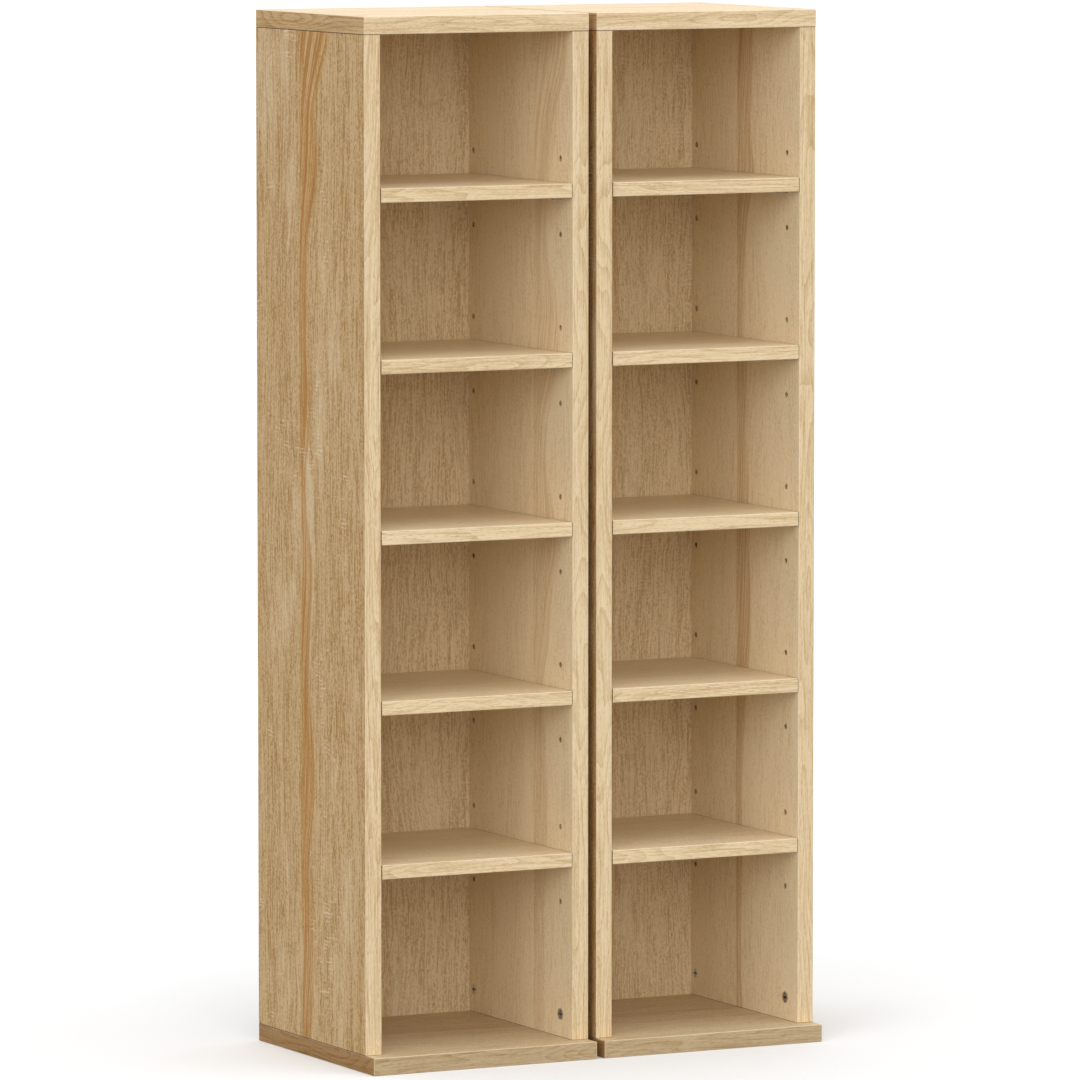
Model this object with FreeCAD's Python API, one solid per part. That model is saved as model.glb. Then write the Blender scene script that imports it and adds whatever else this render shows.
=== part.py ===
"""A CD and DVD rack: a pair of slim, free-standing towers in light oak-look board.

Each tower has a top and a base board laid over the ends of two side boards, a thin back
panel slid into grooves, and five loose shelves on half-round pins, which make six bays.
Frame: X to the right, Y to the back, Z up. The origin is on the floor, in the middle of
the pair's footprint. All sizes are in millimetres.
"""

import FreeCAD
import Part

import math
import os

from FreeCAD import Vector

# The towers as a whole
TOWER_COUNT = 2
TOWER_WIDTH = 210.0
TOTAL_HEIGHT = 885.0
TOWER_GAP = 7.5

# The boards
SIDE_THICKNESS = 15.0
SIDE_DEPTH = 210.0
TOP_THICKNESS = 15.0
BASE_THICKNESS = 15.0
BASE_OVERHANG = 16.0
EDGE_ROUNDING = 0.8

# The back panel and its grooves in the side boards
BACK_THICKNESS = 3.0
BACK_REAR_INSET = 12.0
BACK_TOP_GAP = 0.5
GROOVE_DEPTH = 5.0
GROOVE_CLEARANCE = 0.1

# The shelves: the lowest two are set from the base, the others spread up to the top bay
SHELF_COUNT = 5
SHELF_THICKNESS = 12.0
SHELF_END_GAP = 0.4
SHELF_BACK_GAP = 0.5
LOWEST_BAY_HEIGHT = 148.0
LOWEST_SHELF_STEP = 138.0
TOP_BAY_HEIGHT = 128.0

# The rows of pin holes: a hole at each shelf's underside, with spare ones above and below
PIN_HOLE_DIAMETER = 5.0
PIN_HOLE_DEPTH = 9.0
PIN_HOLE_END_GAP = 0.5
PIN_HOLE_PITCH = 32.0
SPARE_HOLES_EACH_WAY = 1
FRONT_ROW_INSET = 23.0
REAR_ROW_TO_BACK = 8.0

# The shelf pins: a round peg whose free end is cut flat at mid height
PIN_CLEARANCE = 0.1
PIN_SEAT_LENGTH = 8.0
PIN_END_CHAMFER = 0.4

# The cams in the side boards that draw them down onto the base
CAM_HEIGHT = 19.5
CAM_HOLE_DIAMETER = 10.0
CAM_CLEARANCE = 0.1
CAM_HOLE_FLOOR_GAP = 0.3
CAM_RIM = 0.7
CAM_CROSS_WIDTH = 1.3
CAM_CROSS_LENGTH = 6.6
CAM_CROSS_DEPTH = 2.2

# The bolts that stand in the base and reach into the cams with a barrel-shaped head
HEAD_DIAMETER = 5.4
HEAD_HEIGHT = 4.4
HEAD_BAND_HEIGHT = 1.8
HEAD_CLEARANCE = 0.1
HEAD_ROOM_IN_CUP = 0.6
HEAD_ROOM_BEHIND_FACE = 0.8
NECK_DIAMETER = 3.2
NECK_CLEARANCE = 0.3
COLLAR_DIAMETER = 6.4
COLLAR_HEIGHT = 4.0
BOLT_THREAD_DIAMETER = 5.8
BOLT_THREAD_LENGTH = 11.0
BOLT_HOLE_CLEARANCE = 0.1
BOLT_HOLE_END_GAP = 0.3

# The glued dowels that line the boards up
DOWEL_DIAMETER = 6.0
DOWEL_CLEARANCE = 0.1
DOWEL_IN_SIDE = 20.0
DOWEL_IN_BOARD = 10.0
DOWEL_END_GAP = 0.5
DOWEL_END_CHAMFER = 0.8
DOWEL_ROW_STEP = 32.0

# The screws down through the top, under flush plugs
SCREW_HEAD_DIAMETER = 8.0
SCREW_HEAD_CONE = 2.6
SCREW_SHANK_DIAMETER = 5.0
SCREW_LENGTH = 47.0
SCREW_POINT_LENGTH = 4.0
SCREW_CLEARANCE = 0.1
SCREW_HOLE_END_GAP = 1.0
HEX_SOCKET_SIZE = 3.0
HEX_SOCKET_DEPTH = 2.0
PLUG_DIAMETER = 10.0
PLUG_THICKNESS = 2.0
PLUG_CLEARANCE = 0.1
PLUG_SINK = 0.1

X_AXIS = Vector(1, 0, 0)
Y_AXIS = Vector(0, 1, 0)
Z_AXIS = Vector(0, 0, 1)

# Places that follow from the sizes, in a tower's own frame: X from its left side,
# Y from the front edges of the side boards, Z from the floor
SIDE_BOTTOM = BASE_THICKNESS
SIDE_TOP = TOTAL_HEIGHT - TOP_THICKNESS
SIDE_MIDDLE = SIDE_THICKNESS / 2
INNER_LEFT = SIDE_THICKNESS
INNER_RIGHT = TOWER_WIDTH - SIDE_THICKNESS
BACK_FRONT_FACE = SIDE_DEPTH - BACK_REAR_INSET - BACK_THICKNESS
FRONT_ROW = FRONT_ROW_INSET
REAR_ROW = BACK_FRONT_FACE - REAR_ROW_TO_BACK
ROWS = (FRONT_ROW, REAR_ROW)
DOWEL_ROWS = (FRONT_ROW + DOWEL_ROW_STEP, REAR_ROW - DOWEL_ROW_STEP)
CAM_AXIS_HEIGHT = SIDE_BOTTOM + CAM_HEIGHT
CAM_RADIUS = CAM_HOLE_DIAMETER / 2 - CAM_CLEARANCE
CAM_CUP_RADIUS = HEAD_DIAMETER / 2 + HEAD_ROOM_IN_CUP
CAM_FACE_THICKNESS = SIDE_MIDDLE - HEAD_DIAMETER / 2 - HEAD_ROOM_BEHIND_FACE
CAM_DEPTH = SIDE_MIDDLE + HEAD_DIAMETER / 2 + HEAD_CLEARANCE + CAM_RIM
SCREW_TOP = TOTAL_HEIGHT - PLUG_SINK - PLUG_THICKNESS
SCREW_IN_TOP = SCREW_TOP - SIDE_TOP


def shelf_undersides():
    """Heights of the shelves' undersides, from the lowest shelf to the highest."""
    lowest = SIDE_BOTTOM + LOWEST_BAY_HEIGHT
    second = lowest + LOWEST_SHELF_STEP
    highest = SIDE_TOP - TOP_BAY_HEIGHT - SHELF_THICKNESS
    step = (highest - second) / (SHELF_COUNT - 2)
    return [lowest] + [second + step * n for n in range(SHELF_COUNT - 1)]


def block(low, high):
    """A box between two opposite corners."""
    size = high - low
    return Part.makeBox(size.x, size.y, size.z, low)


def rod(start, direction, diameter, length):
    """A round rod or hole of one diameter."""
    return Part.makeCylinder(diameter / 2, length, start, direction)


def turned(points):
    """A solid turned about Z from (radius, height) points that start and end on the axis."""
    corners = [Vector(radius, 0, height) for radius, height in points]
    outline = Part.makePolygon(corners + corners[:1])
    return Part.Face(outline).revolve(Vector(0, 0, 0), Z_AXIS, 360)


def moved(shape, place):
    """A copy of a shape, moved by a vector."""
    copy = shape.copy()
    copy.translate(place)
    return copy


def left_and_right(fitting, row):
    """A fitting of the left side board, and a copy turned round into the right one."""
    turned_round = fitting.copy()
    turned_round.rotate(Vector(TOWER_WIDTH / 2, row, 0), Z_AXIS, 180)
    return [fitting, turned_round]


def front_edges(board, extent):
    """The edges of a board's front face that run along one axis, ZLength for upright ones."""
    front_face = min(board.Faces, key=lambda face: face.CenterOfMass.y)
    longest = max(getattr(edge.BoundBox, extent) for edge in front_face.Edges)
    return [
        edge
        for edge in front_face.Edges
        if getattr(edge.BoundBox, extent) > longest / 2
    ]


def rounded_all_round(board):
    """A top or base board with its level edges rounded and its short upright ones left sharp."""
    upright = board.BoundBox.ZLength / 2
    level_edges = [edge for edge in board.Edges if edge.BoundBox.ZLength < upright]
    return board.makeFillet(EDGE_ROUNDING, level_edges)


def side_outline():
    """A left side board before drilling, with its two front edges rounded."""
    board = block(
        Vector(0, 0, SIDE_BOTTOM),
        Vector(SIDE_THICKNESS, SIDE_DEPTH, SIDE_TOP),
    )
    return board.makeFillet(EDGE_ROUNDING, front_edges(board, "ZLength"))


def pin_holes(underside):
    """The pin holes of one shelf in the left side board, over both rows."""
    shifts = range(-SPARE_HOLES_EACH_WAY, SPARE_HOLES_EACH_WAY + 1)
    return [
        rod(
            Vector(INNER_LEFT, row, underside + shift * PIN_HOLE_PITCH),
            -X_AXIS,
            PIN_HOLE_DIAMETER,
            PIN_HOLE_DEPTH,
        )
        for row in ROWS
        for shift in shifts
    ]


def back_groove():
    """The groove that holds the back panel in the left side board."""
    return block(
        Vector(INNER_LEFT - GROOVE_DEPTH, BACK_FRONT_FACE - GROOVE_CLEARANCE, SIDE_BOTTOM),
        Vector(INNER_LEFT, BACK_FRONT_FACE + BACK_THICKNESS + GROOVE_CLEARANCE, SIDE_TOP),
    )


def cam_holes(row):
    """The cam's pocket in the inner face and the bolt's way up to it from the board's end."""
    pocket = rod(
        Vector(INNER_LEFT, row, CAM_AXIS_HEIGHT),
        -X_AXIS,
        CAM_HOLE_DIAMETER,
        CAM_DEPTH + CAM_HOLE_FLOOR_GAP,
    )
    way_up = rod(
        Vector(SIDE_MIDDLE, row, SIDE_BOTTOM),
        Z_AXIS,
        COLLAR_DIAMETER + 2 * BOLT_HOLE_CLEARANCE,
        CAM_HEIGHT,
    )
    return [pocket, way_up]


def dowel_hole(x, row, joint, direction, length):
    """A blind dowel hole that starts at a joint between two boards."""
    return rod(
        Vector(x, row, joint),
        direction,
        DOWEL_DIAMETER + 2 * DOWEL_CLEARANCE,
        length + DOWEL_END_GAP,
    )


def screw_hole_in_side(row):
    """The pilot hole for a top screw in the end of the left side board."""
    return rod(
        Vector(SIDE_MIDDLE, row, SIDE_TOP),
        -Z_AXIS,
        SCREW_SHANK_DIAMETER + 2 * SCREW_CLEARANCE,
        SCREW_LENGTH - SCREW_IN_TOP + SCREW_HOLE_END_GAP,
    )


def side_panel():
    """A drilled and grooved left side board."""
    cuts = [back_groove()]
    for underside in shelf_undersides():
        cuts += pin_holes(underside)
    for row in ROWS:
        cuts += cam_holes(row)
        cuts.append(screw_hole_in_side(row))
    for row in DOWEL_ROWS:
        cuts.append(dowel_hole(SIDE_MIDDLE, row, SIDE_BOTTOM, Z_AXIS, DOWEL_IN_SIDE))
        cuts.append(dowel_hole(SIDE_MIDDLE, row, SIDE_TOP, -Z_AXIS, DOWEL_IN_SIDE))
    return side_outline().cut(cuts)


def fixing_columns():
    """The two X places of the fixings, in the middle of each side board's end."""
    return (SIDE_MIDDLE, TOWER_WIDTH - SIDE_MIDDLE)


def base_panel():
    """The base board, which stands out past the front, drilled for bolts and dowels."""
    board = rounded_all_round(
        block(Vector(0, -BASE_OVERHANG, 0), Vector(TOWER_WIDTH, SIDE_DEPTH, BASE_THICKNESS))
    )
    cuts = []
    for x in fixing_columns():
        for row in ROWS:
            cuts.append(
                rod(
                    Vector(x, row, BASE_THICKNESS),
                    -Z_AXIS,
                    BOLT_THREAD_DIAMETER + 2 * BOLT_HOLE_CLEARANCE,
                    BOLT_THREAD_LENGTH + BOLT_HOLE_END_GAP,
                )
            )
        for row in DOWEL_ROWS:
            cuts.append(dowel_hole(x, row, BASE_THICKNESS, -Z_AXIS, DOWEL_IN_BOARD))
    return board.cut(cuts)


def screw_seat(x, row):
    """The stepped hole through the top: the plug's seat, the head's cone and the shank's way."""
    plug_seat = rod(
        Vector(x, row, SCREW_TOP),
        Z_AXIS,
        PLUG_DIAMETER + 2 * PLUG_CLEARANCE,
        PLUG_THICKNESS + PLUG_SINK,
    )
    head_cone = Part.makeCone(
        SCREW_HEAD_DIAMETER / 2 + SCREW_CLEARANCE,
        SCREW_SHANK_DIAMETER / 2 + SCREW_CLEARANCE,
        SCREW_HEAD_CONE,
        Vector(x, row, SCREW_TOP),
        -Z_AXIS,
    )
    shank_way = rod(
        Vector(x, row, SIDE_TOP),
        Z_AXIS,
        SCREW_SHANK_DIAMETER + 2 * SCREW_CLEARANCE,
        TOP_THICKNESS,
    )
    return [plug_seat, head_cone, shank_way]


def top_panel():
    """The top board, with a stepped hole for each screw and its plug."""
    board = rounded_all_round(
        block(Vector(0, 0, SIDE_TOP), Vector(TOWER_WIDTH, SIDE_DEPTH, TOTAL_HEIGHT))
    )
    cuts = []
    for x in fixing_columns():
        for row in ROWS:
            cuts += screw_seat(x, row)
        for row in DOWEL_ROWS:
            cuts.append(dowel_hole(x, row, SIDE_TOP, Z_AXIS, DOWEL_IN_BOARD))
    return board.cut(cuts)


def back_panel():
    """The thin back panel, which stands on the base in the side boards' grooves."""
    into_groove = GROOVE_DEPTH - GROOVE_CLEARANCE
    return block(
        Vector(INNER_LEFT - into_groove, BACK_FRONT_FACE, SIDE_BOTTOM),
        Vector(
            INNER_RIGHT + into_groove,
            BACK_FRONT_FACE + BACK_THICKNESS,
            SIDE_TOP - BACK_TOP_GAP,
        ),
    )


def shelf(underside):
    """A loose shelf, flush with the side boards' front edges, its front edges rounded."""
    board = block(
        Vector(INNER_LEFT + SHELF_END_GAP, 0, underside),
        Vector(
            INNER_RIGHT - SHELF_END_GAP,
            BACK_FRONT_FACE - SHELF_BACK_GAP,
            underside + SHELF_THICKNESS,
        ),
    )
    return board.makeFillet(EDGE_ROUNDING, front_edges(board, "XLength"))


def pin(row, underside):
    """A shelf pin in the left side board: a peg in its hole and a half-round seat."""
    diameter = PIN_HOLE_DIAMETER - 2 * PIN_CLEARANCE
    radius = diameter / 2
    peg_length = PIN_HOLE_DEPTH - PIN_HOLE_END_GAP
    length = peg_length + PIN_SEAT_LENGTH
    peg = turned(
        [
            (0, 0),
            (radius - PIN_END_CHAMFER, 0),
            (radius, PIN_END_CHAMFER),
            (radius, length - PIN_END_CHAMFER),
            (radius - PIN_END_CHAMFER, length),
            (0, length),
        ]
    )
    peg.rotate(Vector(0, 0, 0), Y_AXIS, 90)
    peg.translate(Vector(INNER_LEFT - peg_length, row, underside))
    above_seat = block(
        Vector(INNER_LEFT, row - diameter, underside),
        Vector(INNER_LEFT + length, row + diameter, underside + diameter),
    )
    return peg.cut(above_seat)


def shelf_pins(underside):
    """The four pins under one shelf."""
    return [p for row in ROWS for p in left_and_right(pin(row, underside), row)]


def cam_cross():
    """The cross recess for the screwdriver in the cam's face."""
    half = CAM_CROSS_LENGTH / 2
    arm = block(
        Vector(-half, -CAM_CROSS_WIDTH / 2, -CAM_CROSS_DEPTH),
        Vector(half, CAM_CROSS_WIDTH / 2, 0),
    )
    other = arm.copy()
    other.rotate(Vector(0, 0, 0), Z_AXIS, 90)
    return arm.fuse(other)


def cam():
    """A cam with its face at the origin and its body down Z, the bolt's way in towards +X.

    The body is a cup. The bolt's neck passes through a slot round half of its wall, and
    the head went in through the wider hole at the slot's far end before the cam was turned.
    """
    cup = turned(
        [
            (0, 0),
            (CAM_RADIUS, 0),
            (CAM_RADIUS, -CAM_DEPTH),
            (CAM_CUP_RADIUS, -CAM_DEPTH),
            (CAM_CUP_RADIUS, -CAM_FACE_THICKNESS),
            (0, -CAM_FACE_THICKNESS),
        ]
    )
    slot_width = NECK_DIAMETER + 2 * NECK_CLEARANCE
    slot_bottom = Vector(0, 0, -SIDE_MIDDLE - slot_width / 2)
    slot = Part.makeCylinder(CAM_HOLE_DIAMETER, slot_width, slot_bottom, Z_AXIS, 180)
    neck_angle = math.degrees(math.asin(slot_width / 2 / CAM_CUP_RADIUS))
    slot.rotate(Vector(0, 0, 0), Z_AXIS, -neck_angle)
    head_hole = rod(
        Vector(0, 0, -SIDE_MIDDLE),
        -X_AXIS,
        HEAD_DIAMETER + 2 * HEAD_CLEARANCE,
        CAM_HOLE_DIAMETER,
    )
    return cup.cut([slot, head_hole, cam_cross()])


def cam_in_left_side(row):
    """A cam in its pocket, with the bolt's way in turned down to the base."""
    shape = cam()
    shape.rotate(Vector(0, 0, 0), Y_AXIS, 90)
    shape.translate(Vector(INNER_LEFT, row, CAM_AXIS_HEIGHT))
    return shape


def cam_bolt(x, row):
    """A bolt that stands in the base, with its head low in the cam's cup."""
    head_middle = CAM_HEIGHT - (HEAD_ROOM_IN_CUP - HEAD_CLEARANCE)
    thread = BOLT_THREAD_DIAMETER / 2
    collar = COLLAR_DIAMETER / 2
    neck = NECK_DIAMETER / 2
    head = HEAD_DIAMETER / 2
    shape = turned(
        [
            (0, -BOLT_THREAD_LENGTH),
            (thread, -BOLT_THREAD_LENGTH),
            (thread, 0),
            (collar, 0),
            (collar, COLLAR_HEIGHT),
            (neck, COLLAR_HEIGHT),
            (neck, head_middle - HEAD_HEIGHT / 2),
            (head, head_middle - HEAD_BAND_HEIGHT / 2),
            (head, head_middle + HEAD_BAND_HEIGHT / 2),
            (neck, head_middle + HEAD_HEIGHT / 2),
            (0, head_middle + HEAD_HEIGHT / 2),
        ]
    )
    return moved(shape, Vector(x, row, BASE_THICKNESS))


def dowel(x, row, joint, up_length, down_length):
    """A dowel across a joint, with its ends chamfered."""
    radius = DOWEL_DIAMETER / 2
    tip = radius - DOWEL_END_CHAMFER
    shape = turned(
        [
            (0, -down_length),
            (tip, -down_length),
            (radius, -down_length + DOWEL_END_CHAMFER),
            (radius, up_length - DOWEL_END_CHAMFER),
            (tip, up_length),
            (0, up_length),
        ]
    )
    return moved(shape, Vector(x, row, joint))


def hex_socket():
    """The hexagon socket in a screw's head, its mouth at the origin."""
    corner_radius = HEX_SOCKET_SIZE / math.sqrt(3)
    turns = [math.radians(60 * n) for n in range(7)]
    corners = [Vector(math.cos(a), math.sin(a), 0) * corner_radius for a in turns]
    corners[-1] = corners[0]
    outline = Part.Face(Part.makePolygon(corners))
    return outline.extrude(Vector(0, 0, -HEX_SOCKET_DEPTH))


def top_screw(x, row):
    """A screw down through the top into a side board's end, with a hexagon socket."""
    shank = SCREW_SHANK_DIAMETER / 2
    shape = turned(
        [
            (0, 0),
            (SCREW_HEAD_DIAMETER / 2, 0),
            (shank, -SCREW_HEAD_CONE),
            (shank, -SCREW_LENGTH + SCREW_POINT_LENGTH),
            (shank / 2, -SCREW_LENGTH),
            (0, -SCREW_LENGTH),
        ]
    )
    return moved(shape.cut(hex_socket()), Vector(x, row, SCREW_TOP))


def cover_plug(x, row):
    """The round plug over a top screw, a hair below the top's surface."""
    return rod(Vector(x, row, SCREW_TOP), Z_AXIS, PLUG_DIAMETER, PLUG_THICKNESS)


def at_fixings(make, rows):
    """One fitting at each place over the ends of the two side boards."""
    return [make(x, row) for x in fixing_columns() for row in rows]


def tower_nodes():
    """Every piece of one tower in its own frame: node name to list of solids."""
    left_side = side_panel()
    right_side = left_side.mirror(Vector(TOWER_WIDTH / 2, 0, 0), X_AXIS)
    nodes = {
        "base_panel": [base_panel()],
        "left_side_panel": [left_side],
        "right_side_panel": [right_side],
        "back_panel": [back_panel()],
        "top_panel": [top_panel()],
    }
    for number, underside in enumerate(reversed(shelf_undersides()), start=1):
        nodes[f"shelf_{number}"] = [shelf(underside)]
        nodes[f"shelf_{number}_pins"] = shelf_pins(underside)
    nodes["cam_locks"] = [
        lock for row in ROWS for lock in left_and_right(cam_in_left_side(row), row)
    ]
    nodes["cam_bolts"] = at_fixings(cam_bolt, ROWS)
    nodes["base_dowels"] = at_fixings(
        lambda x, row: dowel(x, row, BASE_THICKNESS, DOWEL_IN_SIDE, DOWEL_IN_BOARD),
        DOWEL_ROWS,
    )
    nodes["top_dowels"] = at_fixings(
        lambda x, row: dowel(x, row, SIDE_TOP, DOWEL_IN_BOARD, DOWEL_IN_SIDE),
        DOWEL_ROWS,
    )
    nodes["top_screws"] = at_fixings(top_screw, ROWS)
    nodes["cover_plugs"] = at_fixings(cover_plug, ROWS)
    return nodes


def tower_place(number):
    """The place of a tower's own origin in the pair's frame, with towers counted from 0."""
    pair_width = TOWER_COUNT * TOWER_WIDTH + (TOWER_COUNT - 1) * TOWER_GAP
    pair_depth = BASE_OVERHANG + SIDE_DEPTH
    return Vector(
        -pair_width / 2 + number * (TOWER_WIDTH + TOWER_GAP),
        -pair_depth / 2 + BASE_OVERHANG,
        0,
    )


def main():
    """Writes one STEP file for each node of each tower."""
    os.makedirs("parts", exist_ok=True)
    nodes = tower_nodes()
    for number in range(TOWER_COUNT):
        place = tower_place(number)
        for name, solids in nodes.items():
            placed = [moved(solid, place) for solid in solids]
            shape = placed[0] if len(placed) == 1 else Part.makeCompound(placed)
            shape.exportStep(f"parts/tower_{number + 1}_{name}.step")
    print("shelf undersides:", [round(z, 2) for z in shelf_undersides()])


main()
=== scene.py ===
"""Looks for a pair of slim media towers in light oak-look board.

The boards, pins and cams keep the shapes of the fixed frame and get their finishes here. The dowels,
screws and bolts, which the frame has plain, are made again with their flutes and threads.
Everything is in metres, in the frame's own axes: X to the right, Y to the back, Z up.
"""

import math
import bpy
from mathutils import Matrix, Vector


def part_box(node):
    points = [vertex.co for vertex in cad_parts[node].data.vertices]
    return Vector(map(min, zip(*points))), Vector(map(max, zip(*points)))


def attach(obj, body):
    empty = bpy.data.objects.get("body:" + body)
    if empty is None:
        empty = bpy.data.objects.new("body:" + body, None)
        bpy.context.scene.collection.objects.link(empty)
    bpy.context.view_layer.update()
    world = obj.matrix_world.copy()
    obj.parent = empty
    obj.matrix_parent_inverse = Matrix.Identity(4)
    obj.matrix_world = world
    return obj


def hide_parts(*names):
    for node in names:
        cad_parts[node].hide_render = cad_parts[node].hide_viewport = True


bl_info = {
    "name": "Media tower pair",
    "version": (1, 0, 0),
    "blender": (4, 5, 0),
    "location": "3D View > Sidebar > Towers",
    "description": "Finishes, fittings and studio for a pair of oak-look media towers",
    "category": "Object",
}

import bpy
import numpy as np
from bpy.props import FloatProperty, FloatVectorProperty, IntProperty, PointerProperty
from mathutils import Vector

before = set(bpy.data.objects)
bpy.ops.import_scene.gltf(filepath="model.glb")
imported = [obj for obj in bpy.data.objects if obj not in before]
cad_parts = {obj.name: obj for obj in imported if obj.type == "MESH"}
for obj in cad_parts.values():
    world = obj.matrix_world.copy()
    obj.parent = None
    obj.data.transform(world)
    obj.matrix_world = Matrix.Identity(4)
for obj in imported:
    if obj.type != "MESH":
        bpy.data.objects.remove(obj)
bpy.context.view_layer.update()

TOWERS = (1, 2)
SHELVES = (1, 2, 3, 4, 5)
MM = 0.001


def tower_node(tower, name):
    """The frame's name for a piece of one tower."""
    return f"tower_{tower}_{name}"


# Settings that a user would change


def colour(name, description, default):
    """A colour setting, in linear values."""
    return FloatVectorProperty(
        name=name, description=description, default=default, subtype="COLOR", size=3, min=0, max=1
    )


def length(name, description, millimetres):
    """A length setting, whose default is given in millimetres."""
    return FloatProperty(
        name=name, description=description, default=millimetres * MM, unit="LENGTH", precision=5
    )


def share(name, description, default):
    """A setting between nought and one."""
    return FloatProperty(name=name, description=description, default=default, min=0, max=1)


def angle(name, description, degrees):
    """An angle setting, whose default is given in degrees."""
    return FloatProperty(
        name=name, description=description, default=math.radians(degrees), subtype="ANGLE"
    )


def strength(name, description, default):
    """A light's strength setting."""
    return FloatProperty(name=name, description=description, default=default, min=0)


def direction(name, description, default):
    """A setting for the way from the object to a lamp, which needn't have a length of one."""
    return FloatVectorProperty(name=name, description=description, default=default, subtype="DIRECTION")


class OakSettings(bpy.types.PropertyGroup):
    """The printed oak foil on the boards, and the chipboard under it."""

    pale_light: colour("Pale oak, light grain", "Light grain of edges and inner faces", (0.885, 0.70, 0.45))
    pale_deep: colour("Pale oak, deep grain", "Deep grain of edges and inner faces", (0.52, 0.33, 0.125))
    # The outer faces' deeper tan is partly the foil's own colour and partly painted shade
    tan_and_shade_light: colour("Tan oak, light grain", "Light grain of the outer faces", (0.705, 0.508, 0.275))
    tan_and_shade_deep: colour("Tan oak, deep grain", "Deep grain of the outer faces", (0.37, 0.187, 0.032))
    streak: colour("Streak", "Ground colour of the warm streak along the grain", (0.60, 0.315, 0.055))
    strand: colour("Strands", "Colour of the dark strands in the streak", (0.385, 0.145, 0.006))
    # The silver colour serves the print's greyish patches and also lifts the broad inner faces, which is
    # partly painted light
    silver: colour("Silvery patches", "Colour of the greyish patches", (0.86, 0.715, 0.485))
    pore: colour("Pores", "Colour of the short dark pores", (0.26, 0.14, 0.05))
    fleck: colour("Flecks", "Colour of the pale marks across the grain", (0.90, 0.77, 0.58))
    # The rounded edges' lighter colour is partly wear and partly a painted highlight
    edge_wear_and_highlight: colour("Rounded edges", "Colour of the foil where it goes round an edge", (0.90, 0.76, 0.55))
    # Joint: painted shade, a dark line where shade falls between two boards
    joint: colour("Joint", "Colour of the cut where two boards meet", (0.06, 0.028, 0.01))
    chip_light: colour("Pale chips", "Colour of the pale chips in the board's core", (0.62, 0.45, 0.27))
    chip_dark: colour("Dark chips", "Colour of the dark chips in the board's core", (0.30, 0.17, 0.08))
    raw_back: colour("Raw hardboard", "Colour of the back panel's bare rear face", (0.36, 0.22, 0.11))
    band_width: length("Band width", "Width of the broad bands of colour across the grain", 26)
    ring_width: length("Ring field width", "Width over which the growth rings bend", 24)
    line_width: length("Line width", "Width of the growth lines", 2.6)
    dash_width: length("Dash width", "Width of the short dashes along the grain", 1.1)
    dash_length: length("Dash length", "Length of the short dashes along the grain", 4.6)
    fibre_width: length("Fibre width", "Width of the fine fibres along the grain", 0.9)
    thread_spacing: length("Thread spacing", "Distance between the thin dark threads", 4.5)
    thread_length: length("Thread length", "Length over which the threads wander", 30)
    mark_spacing: length("Mark spacing", "Distance between the pale marks across the grain", 3.4)
    pore_width: length("Pore width", "Width of the dark pores", 0.45)
    pore_length: length("Pore length", "Length of the dark pores", 3.5)
    streak_width: length("Streak width", "Width of the warm streak where it is narrow", 20)
    streak_fan: length("Streak fan", "How much wider the warm streak gets at its fan", 30)
    fan_length: length("Fan length", "Length over which the warm streak widens", 200)
    skin: length("Foil depth", "Depth under a covered face that still counts as foil", 0.25)
    # Width of the painted shade line at a joint
    joint_width: length("Joint width", "Width of the dark line at a joint", 0.4)
    rounding: length("Edge rounding", "Radius of the boards' rounded edges", 0.8)
    roughness: share("Roughness", "Roughness of the foil's satin face", 0.46)


class FittingSettings(bpy.types.PropertyGroup):
    """The metal and wooden fittings."""

    steel: colour("Zinc-plated steel", "Colour of pins, bolts and screws", (0.50, 0.49, 0.475))
    cam_metal: colour("Cast zinc", "Colour of the dull cams", (0.60, 0.59, 0.58))
    # Painted shade in the cams' recesses, and the depth past which it is dark
    recess_shade: colour("Grease", "Dark colour in the cams' recesses", (0.10, 0.09, 0.08))
    recess_shade_depth: length("Grease depth", "Depth in a cam past which it is dark", 0.8)
    beech: colour("Beech", "Colour of the dowels", (0.66, 0.46, 0.26))
    plug: colour("Plug", "Colour of the plugs over the screws", (0.69, 0.51, 0.31))
    dowel_flutes: IntProperty(
        name="Dowel flutes", description="Grooves round a dowel", default=20, min=6, max=48
    )
    flute_depth: length("Flute depth", "Depth of the grooves along a dowel", 0.25)
    dowel_chamfer: length("Dowel chamfer", "Chamfer at a dowel's ends", 0.8)
    bolt_pitch: length("Bolt thread pitch", "Rise of the bolt's thread in one turn", 2.2)
    bolt_thread_depth: length("Bolt thread depth", "Depth of the bolt's thread", 0.55)
    screw_pitch: length("Screw thread pitch", "Rise of the screw's thread in one turn", 2.8)
    screw_thread_depth: length("Screw thread depth", "Depth of the screw's thread", 0.7)


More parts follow.
